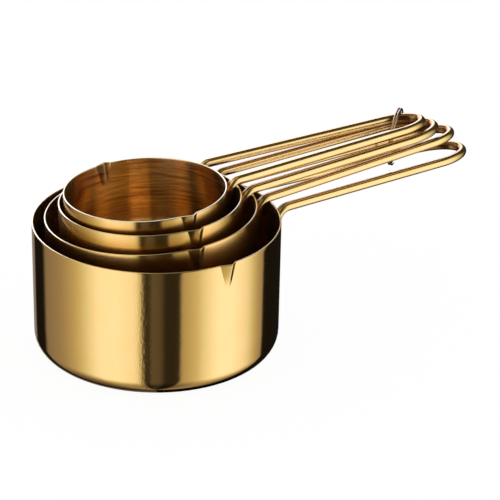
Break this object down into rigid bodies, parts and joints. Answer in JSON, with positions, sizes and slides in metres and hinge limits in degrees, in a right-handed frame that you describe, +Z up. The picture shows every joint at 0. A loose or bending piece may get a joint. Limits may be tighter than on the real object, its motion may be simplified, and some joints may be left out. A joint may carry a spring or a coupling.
{
  "type": "measuring cup set",
  "caption": "Nest of gold-tone sheet metal measuring cups with pouring spouts and bent wire loop handles, kept together by a split ring.",
  "frame": {"origin": "centre of the largest cup's base, on the surface that the nest stands on", "axes": "+X along the largest cup's handle, away from the bowls; +Z up"},
  "size_m": [0.172, 0.0868, 0.0621],
  "materials": {
    "bowl_gold": "polished gold coating outside, brushed inside",
    "wire_gold": "polished gold coating",
    "ring_gold": "polished gold coating"
  },
  "bodies": {
    "one_cup": {"one_cup_bowl": "bowl_gold", "one_cup_handle": "wire_gold"},
    "half_cup": {"half_cup_bowl": "bowl_gold", "half_cup_handle": "wire_gold"},
    "third_cup": {"third_cup_bowl": "bowl_gold", "third_cup_handle": "wire_gold"},
    "quarter_cup": {"quarter_cup_bowl": "bowl_gold", "quarter_cup_handle": "wire_gold"},
    "keeper_ring": {"keeper_ring": "ring_gold"}
  },
  "joints": [
    {"name": "half_cup_swing", "type": "hinge", "parent": "one_cup", "child": "half_cup", "pos_m": [0.10396, 0, 0.0442], "axis": [0, 1, 0], "range_deg": [0, 8]},
    {"name": "third_cup_swing", "type": "hinge", "parent": "half_cup", "child": "third_cup", "pos_m": [0.10396, 0, 0.0442], "axis": [0, 1, 0], "range_deg": [0, 2.5]},
    {"name": "quarter_cup_swing", "type": "hinge", "parent": "third_cup", "child": "quarter_cup", "pos_m": [0.10396, 0, 0.0442], "axis": [0, 1, 0], "range_deg": [0, 3]},
    {"name": "keeper_ring_turn", "type": "hinge", "parent": "one_cup", "child": "keeper_ring", "pos_m": [0.10396, 0.00662, 0.05163], "axis": [0.6666, -0.7403, -0.0872], "continuous": true}
  ]
}
